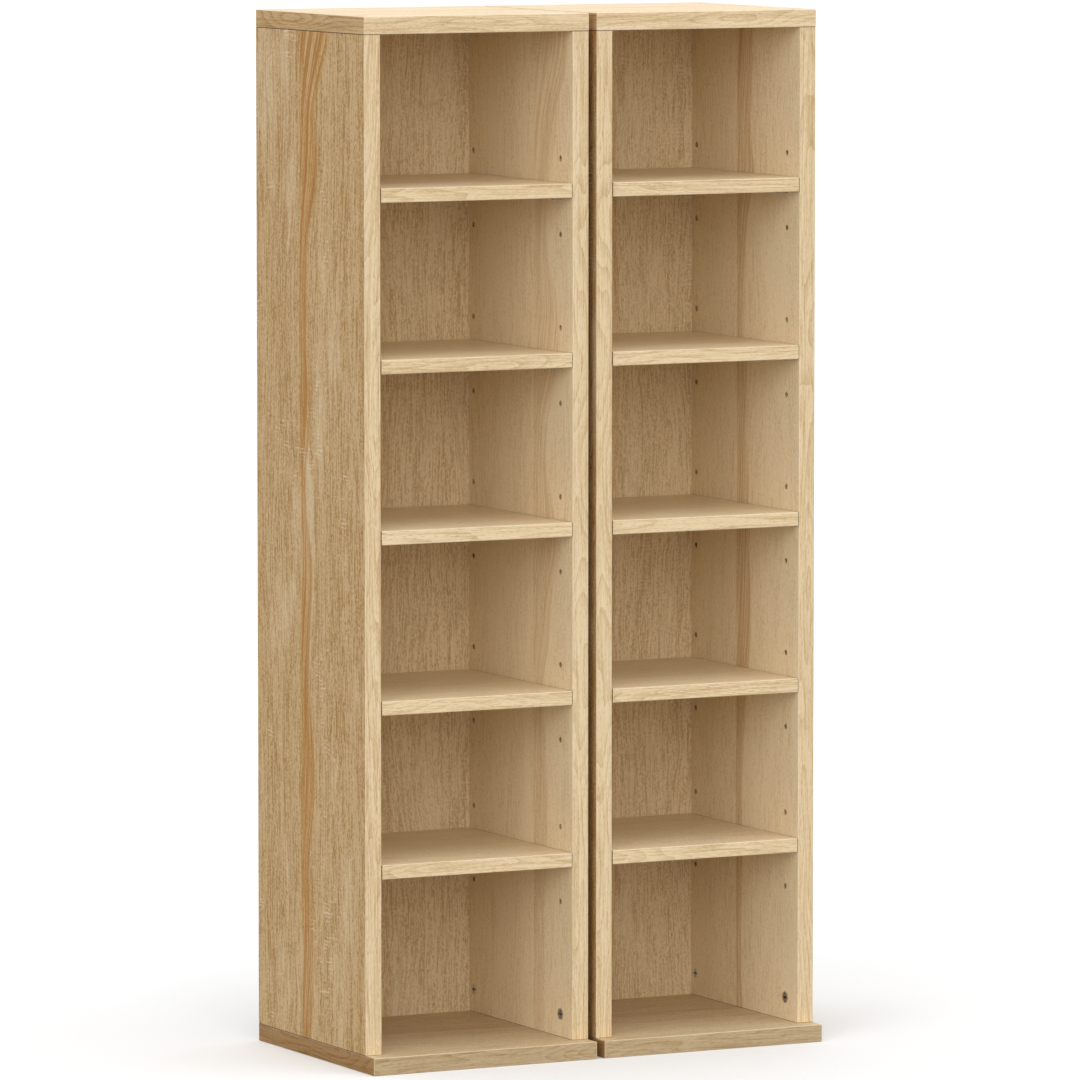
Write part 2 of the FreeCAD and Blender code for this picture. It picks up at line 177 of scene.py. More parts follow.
class StudioSettings(bpy.types.PropertyGroup):
    """The floor, the lamps and the camera."""

    floor: colour("Floor", "Colour of the floor as the camera sees it", (0.96, 0.965, 0.97))
    floor_bounce: share("Floor bounce", "Grey of the floor for the light that it throws back", 0.27)
    room_light: strength("Room light", "Strength of the even light from all round", 0.70)
    side_strength: strength("Side strength", "Strength of the lamp on the left", 0.745)
    side_from: direction("Side from", "Where the lamp on the left stands", (-0.80, -0.56, 0.24))
    side_width: angle("Side width", "Width of the lamp on the left", 34)
    front_strength: strength("Front strength", "Strength of the lamp in front", 0.60)
    front_from: direction("Front from", "Where the lamp in front stands", (-0.30, -1.0, 0.28))
    front_width: angle("Front width", "Width of the lamp in front", 40)
    fill_strength: strength("Fill strength", "Strength of the lamp on the right", 0.50)
    fill_from: direction("Fill from", "Where the lamp on the right stands", (0.90, -0.50, 0.30))
    fill_width: angle("Fill width", "Width of the lamp on the right", 60)
    top_strength: strength("Top strength", "Strength of the lamp overhead", 0.98)
    top_from: direction("Top from", "Where the lamp overhead stands", (-0.1, -0.1, 1.0))
    top_width: angle("Top width", "Width of the lamp overhead", 60)
    camera_place: FloatVectorProperty(
        name="Camera", description="Place of the camera", default=(-3.38225, -6.62175, 1.126), unit="LENGTH"
    )
    camera_yaw: angle("Yaw", "Turn of the view to the right", 27.055)
    camera_pitch: angle("Pitch", "Fall of the view", 5.33)
    focal_length: FloatProperty(
        name="Focal length", description="In millimetres, on a frame 36 mm wide", default=291.33
    )


# Short ways to build node trees


class Graph:
    """Adds nodes to one tree and joins them."""

    def __init__(self, tree):
        self.tree = tree

    def add(self, kind, **settings):
        """A new node with its settings."""
        node = self.tree.nodes.new(kind)
        for name, value in settings.items():
            setattr(node, name, value)
        return node

    def feed(self, socket, value):
        """Joins a socket to another, or sets it to a number, a colour or a vector."""
        if isinstance(value, bpy.types.NodeSocket):
            self.tree.links.new(value, socket)
        elif value is not None:
            socket.default_value = value

    def math(self, operation, *values, clamp=False):
        """One step of arithmetic."""
        node = self.add("ShaderNodeMath", operation=operation, use_clamp=clamp)
        for socket, value in zip(node.inputs, values):
            self.feed(socket, value)
        return node.outputs[0]

    def rise(self, value, low, high):
        """A smooth rise from 0 at low to 1 at high."""
        node = self.add("ShaderNodeMapRange", interpolation_type="SMOOTHSTEP")
        self.feed(node.inputs["Value"], value)
        self.feed(node.inputs["From Min"], low)
        self.feed(node.inputs["From Max"], high)
        return node.outputs["Result"]

    def blend(self, factor, first, second, kind="MIX"):
        """Two colours mixed by a factor."""
        node = self.add("ShaderNodeMix", data_type="RGBA", blend_type=kind)
        self.feed(node.inputs[0], factor)
        self.feed(node.inputs[6], opaque(first))
        self.feed(node.inputs[7], opaque(second))
        return node.outputs[2]

    def between(self, factor, first, second):
        """Two numbers mixed by a factor."""
        node = self.add("ShaderNodeMix", data_type="FLOAT")
        for socket, value in zip((node.inputs[0], node.inputs[2], node.inputs[3]), (factor, first, second)):
            self.feed(socket, value)
        return node.outputs[0]

    def vector(self, x, y, z):
        """A vector from three numbers."""
        node = self.add("ShaderNodeCombineXYZ")
        for socket, value in zip(node.inputs, (x, y, z)):
            self.feed(socket, value)
        return node.outputs[0]

    def noise(self, vector, scale=1.0, detail=2.0, roughness=0.5):
        """Soft noise, mostly between 0.3 and 0.7."""
        node = self.add("ShaderNodeTexNoise")
        self.feed(node.inputs["Vector"], vector)
        for name, value in (("Scale", scale), ("Detail", detail), ("Roughness", roughness)):
            self.feed(node.inputs[name], value)
        return node.outputs[0]

    def weighted(self, *layers):
        """A half plus each layer's distance from a half, times its weight, kept between 0 and 1."""
        total = 0.5
        for value, weight in layers:
            total = self.math("MULTIPLY_ADD", self.math("SUBTRACT", value, 0.5), weight, total)
        return self.math("ADD", total, 0.0, clamp=True)

    def drawn_out(self, along, across, seed, cell_along, cell_across, **settings):
        """Noise whose cells have one size along the grain and another across it."""
        along = self.math("DIVIDE", along, cell_along)
        across = self.math("DIVIDE", across, cell_across)
        return self.noise(self.vector(along, across, seed), **settings)


def opaque(value):
    """A colour's three numbers with an alpha of one, or a socket as it is."""
    return value if isinstance(value, bpy.types.NodeSocket) else (*value, 1.0)


def new_material(name):
    """An empty material, with a graph, its shader and the point on the piece in Object coordinates."""
    material = bpy.data.materials.new(name)
    material.use_nodes = True
    material.node_tree.nodes.clear()
    graph = Graph(material.node_tree)
    output = graph.add("ShaderNodeOutputMaterial")
    shader = graph.add("ShaderNodeBsdfPrincipled")
    graph.feed(output.inputs["Surface"], shader.outputs["BSDF"])
    point = graph.add("ShaderNodeTexCoord").outputs["Object"]
    return material, graph, shader, point


def centred(graph, point, centre):
    """The point measured from a piece's centre, as three numbers."""
    mapping = graph.add("ShaderNodeMapping")
    graph.feed(mapping.inputs["Vector"], point)
    mapping.inputs["Location"].default_value = -centre
    parts = graph.add("ShaderNodeSeparateXYZ")
    graph.feed(parts.inputs[0], mapping.outputs[0])
    return parts.outputs[:]


def dress(graph, shader, colour, roughness, height, depth, strength=0.5, metallic=0.0, specular=0.5):
    """Gives a shader its colour, roughness and gloss, and a bump whose depth is in metres."""
    graph.feed(shader.inputs["Base Color"], colour)
    graph.feed(shader.inputs["Roughness"], roughness)
    shader.inputs["Metallic"].default_value = metallic
    shader.inputs["Specular IOR Level"].default_value = specular
    bump = graph.add("ShaderNodeBump")
    bump.inputs["Strength"].default_value = strength
    bump.inputs["Distance"].default_value = depth
    graph.feed(bump.inputs["Height"], height)
    graph.feed(shader.inputs["Normal"], bump.outputs["Normal"])


def new_group(name, inputs):
    """A node group that gives a colour and a height: returns it with its graph, inputs and results."""
    tree = bpy.data.node_groups.new(name, "ShaderNodeTree")
    for title in inputs:
        tree.interface.new_socket(title, in_out="INPUT", socket_type="NodeSocketFloat")
    for title, kind in (("Color", "NodeSocketColor"), ("Height", "NodeSocketFloat")):
        tree.interface.new_socket(title, in_out="OUTPUT", socket_type=kind)
    graph = Graph(tree)
    given = graph.add("NodeGroupInput").outputs
    return tree, graph, given, graph.add("NodeGroupOutput").inputs


# The printed oak foil

# Distance between the seeds of two of the print's noises
SEED_STEP = 11.37
# On an edge the print is stretched along the grain and squeezed across it
EDGE_STRETCH, EDGE_SQUEEZE = 0.58, 1.3
# How far the whole grain wanders and ripples sideways, in metres
WANDER_REACH, RIPPLE_REACH = 0.045, 0.007
# How far from a noise's middle value a thin thread reaches
THREAD_REACH = 0.045
# Growth rings over the whole range of their field, and how sharply each one ends
RING_COUNT, RING_POWER = 15.0, 2.5
# The sum of the layers at which the tone is the middle one
MIDDLE_SUM = 0.60
# Middle tones of an outer face and of an outer edge, and how much deeper a pale edge is than its face
OUTER_FACE_TONE, OUTER_EDGE_TONE, PALE_EDGE_DEEPER = 0.415, 0.40, 0.16
OUTER_FACE_CONTRAST, EDGE_CONTRAST = 0.88, 0.78
# How wide the streak is at its narrowest, as a share, and how much of its width swells
SWELL_LEAST, SWELL_MORE = 0.45, 0.9
# How far the strands lean across the streak, in widths over the fan's length
STRAND_LEAN = -0.7
STREAK_GROUND_MIX, STRAND_MIX, FINE_LINE_PART = 0.30, 0.86, 0.7
PALE_STREAK_PART = 0.5
MARK_UNSTEADINESS, MARK_MIX = 13.0, 0.48
PORE_MIX = 0.38
# What the colour is multiplied by where a board lies in shade, on its pale and on its outer faces
PALE_SHADE, OUTER_SHADE, EDGE_SHADE_PART = (0.67, 0.64, 0.61), (0.60, 0.49, 0.34), 0.72
PORE_DIP, DASH_RISE = -0.7, 0.8


def oak_foil(oak):
    """The oak print as a group. Along and Across are the place on the board in metres.

    On edge tape, where Edge is 1, the print is longer and finer. Bands, mottling, growth lines, dashes,
    specks and fibres are noises drawn out along the grain. Their weighted sum with the rings and threads
    is the tone from deep to light grain. The rings are the fraction left of a broad noise times their
    count, to a power, so that they nest in long points. The threads are thin dark lines where a noise
    passes through its middle. The streak has one straight side at Heart, and its width grows past Fan
    and swells here and there. Its strands, and the fine lines that break them up, are noises of the
    share of that width, so they spread like a fan, and they slant past Fan. The pale marks are the
    crests of a sine of Along, made unsteady by a noise, in rows within fields.
    """
    tree, g, given, result = new_group(
        "oak_foil",
        (
            "Along", "Across", "Seed", "Outer", "Edge", "Shade",
            "Silver", "Tone", "Contrast", "Heart", "Fan", "Streak",
        ),
    )
    edge, seed, outer = given["Edge"], given["Seed"], given["Outer"]
    face = g.math("SUBTRACT", 1.0, edge)

    def by_edge(on_face, on_edge):
        """A number for the broad faces and one for the edges."""
        return g.between(edge, on_face, on_edge)

    def by_tan(pale, tan):
        """A number for the pale faces and one for the outer ones in the deeper tan, which is partly painted
        shade.
        """
        return g.between(outer, pale, tan)

    def times(*values):
        """The product of some numbers."""
        product = values[0]
        for value in values[1:]:
            product = g.math("MULTIPLY", product, value)
        return product

    along = times(given["Along"], by_edge(1.0, EDGE_STRETCH))
    across = times(given["Across"], by_edge(1.0, EDGE_SQUEEZE))

    def layer(number, place, long, wide, **settings):
        """One noise of the print, whose cells are so long and so wide."""
        shifted = g.math("ADD", seed, SEED_STEP * number)
        return g.drawn_out(along, place, shifted, long, wide, **settings)

    wander = layer(1, across, long=0.32, wide=0.10, detail=1.0)
    ripple = layer(2, across, long=0.05, wide=0.016, detail=2.0)
    drift = g.math("MULTIPLY_ADD", wander, WANDER_REACH, times(ripple, RIPPLE_REACH))
    place = g.math("ADD", across, drift)

    bands = layer(3, place, long=0.9, wide=oak.band_width, detail=2.0, roughness=0.6)
    mottle = layer(4, place, long=0.05, wide=0.010, detail=2.0)
    lines = layer(5, place, long=0.25, wide=oak.line_width, detail=2.0, roughness=0.7)
    dashes = layer(6, place, long=oak.dash_length, wide=oak.dash_width, detail=1.5, roughness=0.5)
    specks = layer(15, across, long=0.0022, wide=0.0012, detail=1.0)
    fibres = layer(7, place, long=0.035, wide=oak.fibre_width, detail=1.5)
    crossing = layer(16, place, long=oak.thread_length, wide=oak.thread_spacing)
    ridge = g.math("ABSOLUTE", g.math("SUBTRACT", crossing, 0.5))
    threads = g.rise(ridge, 0.0, THREAD_REACH)
    field_long, field_wide = by_edge(0.26, 0.11), by_edge(oak.ring_width, 0.032)
    field = layer(13, across, field_long, field_wide, detail=1.0, roughness=0.4)
    jagged = times(dashes, by_edge(0.5, 0.12))
    rings = g.math("FRACT", g.math("MULTIPLY_ADD", field, RING_COUNT, jagged))
    rings = g.math("POWER", rings, RING_POWER)
    tone = g.weighted(
        (bands, 0.95),
        (mottle, 0.30),
        (lines, by_edge(1.0, 1.05)),
        (dashes, by_edge(1.05, 0.3)),
        (specks, by_edge(2.1, 0.75)),
        (fibres, by_edge(2.85, 1.6)),
        (rings, by_edge(-0.20, by_tan(-0.50, -0.62))),
        (threads, by_edge(0.45, 0.25)),
    )
    contrast = by_edge(by_tan(given["Contrast"], OUTER_FACE_CONTRAST), EDGE_CONTRAST)
    pale_edge = g.math("SUBTRACT", given["Tone"], PALE_EDGE_DEEPER)
    middle = by_edge(by_tan(given["Tone"], OUTER_FACE_TONE), by_tan(pale_edge, OUTER_EDGE_TONE))
    tone = g.math("MULTIPLY_ADD", g.math("SUBTRACT", tone, MIDDLE_SUM), contrast, middle, clamp=True)
    pale = g.blend(tone, oak.pale_deep, oak.pale_light)
    # The outer faces' tan: partly the foil's own colour and partly painted shade
    tan = g.blend(tone, oak.tan_and_shade_deep, oak.tan_and_shade_light)
    wood = g.blend(outer, pale, tan)

    # Partly painted light: the broad inner faces are lifted towards the light silver grey
    inner = times(face, given["Silver"], g.math("SUBTRACT", 1.0, outer))
    patches = g.rise(layer(8, place, long=0.15, wide=0.036, detail=4.0, roughness=0.6), 0.51, 0.68)
    silver_print_and_light = g.math("ADD", inner, times(patches, by_edge(0.33, 0.2)))
    wood = g.blend(silver_print_and_light, wood, oak.silver)

    from_heart = g.math("SUBTRACT", given["Heart"], g.math("MULTIPLY_ADD", drift, 0.2, across))
    past_fan = g.math("DIVIDE", g.math("SUBTRACT", along, given["Fan"]), oak.fan_length)
    width = g.math("MULTIPLY_ADD", g.rise(past_fan, 0.0, 1.0), oak.streak_fan, oak.streak_width)
    swell = g.rise(layer(17, 0.0, long=0.16, wide=1.0, detail=1.0), 0.3, 0.7)
    width = times(width, g.math("MULTIPLY_ADD", swell, SWELL_MORE, SWELL_LEAST))
    in_streak = g.math("DIVIDE", from_heart, width)
    inside = times(g.rise(in_streak, -0.12, 0.06), g.rise(in_streak, 1.04, 0.84))
    inside = times(inside, given["Streak"], face, by_tan(PALE_STREAK_PART, 1.0))
    slanted = g.math("MULTIPLY_ADD", past_fan, STRAND_LEAN, in_streak)
    strands = g.rise(layer(9, slanted, long=0.22, wide=0.075, detail=2.0, roughness=0.6), 0.42, 0.53)
    fine_lines = g.rise(layer(18, slanted, long=0.16, wide=0.028, detail=2.0), 0.38, 0.51)
    broken_up = g.math("MULTIPLY_ADD", fine_lines, FINE_LINE_PART, 1 - FINE_LINE_PART)
    strands = times(strands, broken_up)
    wood = g.blend(times(inside, STREAK_GROUND_MIX), wood, oak.streak)
    wood = g.blend(times(inside, strands, STRAND_MIX), wood, oak.strand)

    unsteady = layer(10, across, long=0.009, wide=0.012, detail=3.0)
    steady = g.math("DIVIDE", along, oak.mark_spacing / (2 * math.pi))
    crests = g.rise(g.math("SINE", g.math("MULTIPLY_ADD", unsteady, MARK_UNSTEADINESS, steady)), 0.0, 1.0)
    rows = g.rise(layer(11, across, long=0.010, wide=0.016, detail=3.0), 0.49, 0.66)
    fields = g.rise(layer(14, across, long=0.13, wide=0.055, detail=2.0), 0.54, 0.67)
    marks = times(times(crests, rows), times(fields, face))
    wood = g.blend(times(marks, MARK_MIX), wood, oak.fleck)

    pores = g.rise(layer(12, place, long=oak.pore_length, wide=oak.pore_width, detail=1.0), 0.58, 0.72)
    wood = g.blend(times(pores, PORE_MIX), wood, oak.pore)
    shaded = g.blend(1.0, wood, g.blend(outer, PALE_SHADE, OUTER_SHADE), "MULTIPLY")
    shade = times(given["Shade"], by_edge(EDGE_SHADE_PART, 1.0))
    g.feed(result["Color"], g.blend(shade, wood, shaded))
    g.feed(result["Height"], g.math("MULTIPLY_ADD", pores, PORE_DIP, times(dashes, DASH_RISE)))
    return tree


# Sizes of the coarse and fine chips of the core, in metres, and the share of the coarse ones in its tone
COARSE_CHIP, FINE_CHIP, COARSE_PART = 0.0026, 0.0009, 0.6


def chipboard(oak):
    """The board's core as a group: tan and brown chips of two sizes, seen where no foil covers it."""
    tree, g, given, result = new_group("chipboard", ("X", "Y", "Z"))
    point = g.vector(given["X"], given["Y"], given["Z"])

    def chips(size):
        """The tones of chips of one size, and the distance from each one's middle."""
        cells = g.add("ShaderNodeTexVoronoi", feature="F1")
        g.feed(cells.inputs["Vector"], point)
        cells.inputs["Scale"].default_value = 1 / size
        tone = g.add("ShaderNodeSeparateColor")
        g.feed(tone.inputs[0], cells.outputs["Color"])
        return tone.outputs[0], cells.outputs["Distance"]

    coarse, from_middle = chips(COARSE_CHIP)
    fine, _ = chips(FINE_CHIP)
    tone = g.math("MULTIPLY_ADD", coarse, COARSE_PART, g.math("MULTIPLY", fine, 1 - COARSE_PART))
    g.feed(result["Color"], g.blend(g.rise(tone, 0.25, 0.85), oak.chip_light, oak.chip_dark))
    g.feed(result["Height"], g.math("MULTIPLY_ADD", fine, 0.5, from_middle))
    return tree


def use_group(graph, tree, **values):
    """A group in a graph, with its inputs fed: returns its outputs."""
    node = graph.add("ShaderNodeGroup", node_tree=tree)
    for name, value in values.items():
        graph.feed(node.inputs[name], value)
    return node.outputs


def give(node, material):
    """Puts a material in every slot of a frame node."""
    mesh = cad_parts[node].data
    mesh.materials.clear()
    mesh.materials.append(material)


# How much the rounded edges' lighter colour, partly wear and partly a painted highlight, shows on a rounded
# edge, and the dark painted shade in a joint
EDGE_WEAR_AND_HIGHLIGHT_MIX, JOINT_SHADE_MIX = 0.4, 0.9
# How much less rough the foil is on its raised parts, and the roughness of bare chipboard
RAISED_GLOSS, BARE_ROUGHNESS = -0.12, 0.85
PRINT_DEPTH = 0.08 * MM
# The print of a plain pale board, whose fan, 9 m off, is none. Its Silver lifts the broad inner faces
# towards a light grey, which is partly the print's grey and partly painted light.
PLAIN_PRINT = dict(Shade=0.0, Silver=0.6, Tone=0.78, Contrast=1.4, Heart=0.0, Fan=9.0, Streak=0.0)


def finish_board(node, grain, face_axis, covered, outer=(), joints=(), **own_print):
    """Finishes one board: oak foil on its covered faces and chipboard elsewhere.

    grain is the axis that the print runs along, and face_axis the one square to the board's broad faces.
    covered maps an axis to low, high or both for its foiled faces. outer lists the (axis, sign) of the
    faces in the deeper tan, which is partly painted shade, and joints the (axis, sign) of the faces that
    lie against another board, along which a thin line of painted shade is drawn.
    own_print has the print's seed and what else isn't as on a plain board.

    Distances under each face are worked out from the board's own box. The foil shows where the least of
    them is under its depth, and the rounded edges' lighter colour, partly wear and partly a painted
    highlight, where the sum of two is under the rounding's radius.
    """
    oak = bpy.context.scene.towers_oak
    low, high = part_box(node)
    material, g, shader, point = new_material(f"oak_{node}")
    place = dict(zip("xyz", centred(g, point, (low + high) / 2)))
    size = dict(zip("xyz", (high - low) / 2))

    def under(axis, side):
        """How deep a place lies under the low or high face of an axis, or under the nearer of both."""
        if side == "both":
            return g.math("SUBTRACT", size[axis], g.math("ABSOLUTE", place[axis]))
        return g.math("SUBTRACT" if side == "high" else "ADD", size[axis], place[axis])

    depths = {axis: under(axis, covered[axis]) for axis in "xyz" if axis in covered}
    names = sorted(depths)
    least = depths[names[0]]
    for axis in names[1:]:
        least = g.math("MINIMUM", least, depths[axis])
    bare = g.math("GREATER_THAN", least, oak.skin)
    corner = None
    for first, second in zip(names, names[1:] + names[:1]):
        both = g.math("ADD", depths[first], depths[second])
        corner = both if corner is None else g.math("MINIMUM", corner, both)
    # Mask of the rounded edges, which get a lighter colour, partly wear and partly a painted highlight
    rounding = g.rise(corner, oak.rounding, oak.rounding * 0.55)

    # The outer faces, whose deeper tan is partly painted shade
    tan = 0.0
    for axis, sign in outer:
        towards = g.math("MULTIPLY", place[axis], sign)
        on_face = g.math("GREATER_THAN", towards, size[axis] - oak.skin)
        tan = g.math("MAXIMUM", tan, on_face)
    edge = g.math("GREATER_THAN", depths[face_axis], oak.skin)

    others = [axis for axis in "xyz" if axis != grain]
    along, across = place[grain], g.math("ADD", place[others[0]], place[others[1]])
    on_end = None
    if covered.get(grain):
        on_end = g.math("LESS_THAN", depths[grain], oak.skin)
        along = g.between(on_end, along, place["y"])
        across = g.between(on_end, across, place["z"])
    oak_print = use_group(
        g, bpy.data.node_groups["oak_foil"],
        Along=along, Across=across, Outer=tan, Edge=edge, **{**PLAIN_PRINT, **own_print},
    )
    core = use_group(g, bpy.data.node_groups["chipboard"], X=place["x"], Y=place["y"], Z=place["z"])
    # Painted shade: a thin dark line along each face that lies against another board, where shade falls in
    # the joint
    joint = 0.0
    for axis, sign in joints:
        towards = g.math("MULTIPLY", place[axis], sign)
        near = g.rise(towards, size[axis] - oak.joint_width, size[axis] - oak.joint_width * 0.6)
        joint = g.math("MAXIMUM", joint, near)
    if joints and on_end is not None:
        joint = g.math("MULTIPLY", joint, g.math("LESS_THAN", depths[grain], oak.joint_width))
    # Partly wear and partly a painted highlight: a lighter colour where the foil goes round an edge
    foil = g.blend(g.math("MULTIPLY", rounding, EDGE_WEAR_AND_HIGHLIGHT_MIX), oak_print["Color"], oak.edge_wear_and_highlight)
    if joints:
        foil = g.blend(g.math("MULTIPLY", joint, JOINT_SHADE_MIX), foil, oak.joint)
    satin = g.math("MULTIPLY_ADD", oak_print["Height"], RAISED_GLOSS, oak.roughness)
    roughness = g.between(bare, g.between(joint, satin, 1.0), BARE_ROUGHNESS)
    height = g.between(bare, oak_print["Height"], core["Height"])
    dress(g, shader, g.blend(bare, foil, core["Color"]), roughness, height, PRINT_DEPTH, specular=0.12)
    give(node, material)


# Plain pieces' materials


def tinted(base, factor):
    """A colour made lighter or darker by a factor."""
    return [min(value * factor, 1.0) for value in base]


def finish_back(node, seed):
    """Finishes a back panel as thin hardboard: oak print in front, bare brown fibres behind."""
    oak = bpy.context.scene.towers_oak
    low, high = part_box(node)
    material, g, shader, point = new_material(f"hardboard_{node}")
    x, y, z = centred(g, point, (low + high) / 2)
    oak_print = use_group(
        g, bpy.data.node_groups["oak_foil"],
        Along=z, Across=x, Seed=seed, Outer=0.2, Edge=0.0, Shade=0.0, Silver=0.35,
        Tone=0.55, Contrast=1.0, Heart=0.02, Fan=0.1, Streak=0.4,
    )
    front = g.math("LESS_THAN", y, -(high.y - low.y) / 2 + oak.skin)
    cloud = g.noise(point, scale=70, detail=5.0, roughness=0.7)
    fibres = g.noise(point, scale=900, detail=3.0, roughness=0.7)
    raw = g.blend(g.rise(cloud, 0.2, 0.8), oak.raw_back, tinted(oak.raw_back, 1.22))
    raw = g.blend(g.math("MULTIPLY", g.rise(fibres, 0.5, 0.7), 0.35), raw, oak.chip_dark)
    height = g.between(front, fibres, oak_print["Height"])
    dress(
        g, shader, g.blend(front, raw, oak_print["Color"]), g.between(front, 0.8, 0.5), height, PRINT_DEPTH,
        specular=0.3,
    )
    give(node, material)


def steel_material():
    """Zinc-plated steel with a slightly cloudy, finely scratched face."""
    fittings = bpy.context.scene.towers_fittings
    material, g, shader, point = new_material("zinc_plated_steel")
    cloud = g.noise(point, scale=260, detail=3.0, roughness=0.6)
    scratches = g.noise(point, scale=2600, detail=2.0, roughness=0.6)
    steel = g.blend(g.rise(cloud, 0.3, 0.7), fittings.steel, tinted(fittings.steel, 0.72))
    roughness = g.math("MULTIPLY_ADD", scratches, 0.3, 0.18)
    dress(g, shader, steel, roughness, scratches, 0.02 * MM, 0.4, metallic=1.0)
    return material


def cam_material(tower):
    """Cast zinc with small pits, bright on one tower's cams' faces, with painted shade darkening their
    recesses.

    How deep a place lies in its cam is its distance sideways from the tower's middle, less half the
    width between the side boards' inner faces.
    """
    fittings = bpy.context.scene.towers_fittings
    material, g, shader, point = new_material(f"cast_zinc_{tower}")
    left_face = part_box(tower_node(tower, "left_side_panel"))[1].x
    right_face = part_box(tower_node(tower, "right_side_panel"))[0].x
    middle = Vector(((left_face + right_face) / 2, 0, 0))
    sideways, _, _ = centred(g, point, middle)
    deep = g.math("SUBTRACT", g.math("ABSOLUTE", sideways), (right_face - left_face) / 2)
    mottle = g.noise(point, scale=520, detail=4.0, roughness=0.6)
    pits = g.noise(point, scale=2400, detail=2.0, roughness=0.5)
    metal = g.blend(g.rise(mottle, 0.35, 0.7), fittings.cam_metal, tinted(fittings.cam_metal, 1.3))
    # Painted shade: dark in the cams' recesses, deeper than the cam's face
    recess_shaded = g.rise(deep, fittings.recess_shade_depth * 0.4, fittings.recess_shade_depth)
    roughness = g.math("MULTIPLY_ADD", pits, 0.35, 0.22)
    dress(g, shader, g.blend(recess_shaded, metal, fittings.recess_shade), roughness, pits, 0.04 * MM, metallic=1.0)
    return material


def beech_material():
    """Beech with fine fibres and short dark flecks along the dowel."""
    fittings = bpy.context.scene.towers_fittings
    material, g, shader, point = new_material("beech")
    x, y, z = centred(g, point, Vector((0, 0, 0)))
    across = g.math("MULTIPLY_ADD", y, 1.7, x)
    fibres = g.drawn_out(z, across, 4.0, 20 * MM, 0.8 * MM, detail=3.0)
    flecks = g.rise(g.drawn_out(z, across, 9.0, 2.5 * MM, 0.3 * MM, detail=1.0), 0.58, 0.7)
    wood = g.blend(g.rise(fibres, 0.35, 0.65), fittings.beech, tinted(fittings.beech, 0.7))
    wood = g.blend(g.math("MULTIPLY", flecks, 0.6), wood, tinted(fittings.beech, 0.45))
    dress(g, shader, wood, g.math("MULTIPLY_ADD", fibres, 0.2, 0.5), fibres, 0.06 * MM)
    return material


def plug_material():
    """Moulded plastic in the board's colour, slightly mottled, with a fine grain."""
    fittings = bpy.context.scene.towers_fittings
    material, g, shader, point = new_material("moulded_plug")
    mottle = g.noise(point, scale=220, detail=3.0, roughness=0.5)
    grain = g.noise(point, scale=3200, detail=2.0, roughness=0.5)
    plastic = g.blend(g.rise(mottle, 0.3, 0.7), fittings.plug, tinted(fittings.plug, 0.86))
    dress(g, shader, plastic, g.math("MULTIPLY_ADD", grain, 0.2, 0.38), grain, 0.03 * MM, 0.4)
    return material


# Turned fittings as surfaces over height and angle

# Rows of faces in one turn of a thread, columns round a thread, and columns across one flute
ROWS_A_TURN, THREAD_COLUMNS, FLUTE_COLUMNS = 9, 36, 4
# Heights nearer than this, in metres, are the same
HAIR = 1e-7


def turned_mesh(name, places, heights, radii):
    """One mesh of like turned fittings, one at each (x, y, z) place.

    A point has x = radius cos(angle), y = radius sin(angle), z = height. heights has one value a row,
    from the bottom up, and radii a row for each height and a column for each angle. A vertex on the axis
    closes each end.
    """
    rows, columns = radii.shape
    angle = np.arange(columns) * 2 * np.pi / columns
    ring = np.stack(
        [radii * np.cos(angle), radii * np.sin(angle), np.repeat(heights[:, None], columns, 1)], axis=2
    ).reshape(-1, 3)
    ends = np.array([[0, 0, heights[0]], [0, 0, heights[-1]]])
    points = np.concatenate([ring, ends])
    row, column = np.meshgrid(np.arange(rows - 1), np.arange(columns), indexing="ij")
    after = (column + 1) % columns
    below, above = row * columns, (row + 1) * columns
    quads = np.stack([below + column, below + after, above + after, above + column], axis=2).reshape(-1, 4)
    first = np.arange(columns)
    second = (first + 1) % columns
    top = (rows - 1) * columns
    bottom_fan = np.stack([np.full(columns, rows * columns), second, first], axis=1)
    top_fan = np.stack([np.full(columns, rows * columns + 1), top + first, top + second], axis=1)
    faces = []
    for n in range(len(places)):
        shift = n * len(points)
        faces += (quads + shift).tolist() + (bottom_fan + shift).tolist() + (top_fan + shift).tolist()
    every = np.concatenate([points + np.array(place) for place in places])
    mesh = bpy.data.meshes.new(name)
    mesh.from_pydata(every.tolist(), [], faces)
    mesh.validate()
    return mesh


def remake(tower, kind, form, material, feet, heights, radii):
    """Makes a tower's fittings of one kind again, in place of the frame's and on the same body."""
    node, name = tower_node(tower, kind), tower_node(tower, f"{form}_{kind}")
    body = f"tower_{tower}"
    mesh = turned_mesh(name, feet, heights, radii)
    mesh.materials.append(material)
    mesh.polygons.foreach_set("use_smooth", np.ones(len(mesh.polygons), bool))
    piece = bpy.data.objects.new(name, mesh)
    bpy.context.scene.collection.objects.link(piece)
    mesh.set_sharp_from_angle(angle=math.radians(40))
    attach(piece, body)
    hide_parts(node)


def four_fittings(node):
    """The four like fittings of a node, one in each quarter of its plan.

    Returns the places of their axes' lower ends, and the widest radius and the height of one of them.
    """
    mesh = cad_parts[node].data
    points = np.empty(len(mesh.vertices) * 3, np.float32)
    mesh.vertices.foreach_get("co", points)
    points = points.reshape(-1, 3).astype(float)
    middle = (points.min(0) + points.max(0)) / 2
    quarter = (points[:, 0] > middle[0]) * 2 + (points[:, 1] > middle[1])
    boxes = [(points[quarter == n].min(0), points[quarter == n].max(0)) for n in range(4)]
    feet = [((low[0] + high[0]) / 2, (low[1] + high[1]) / 2, low[2]) for low, high in boxes]
    low, high = boxes[0]
    return feet, (high[0] - low[0]) / 2, high[2] - low[2]


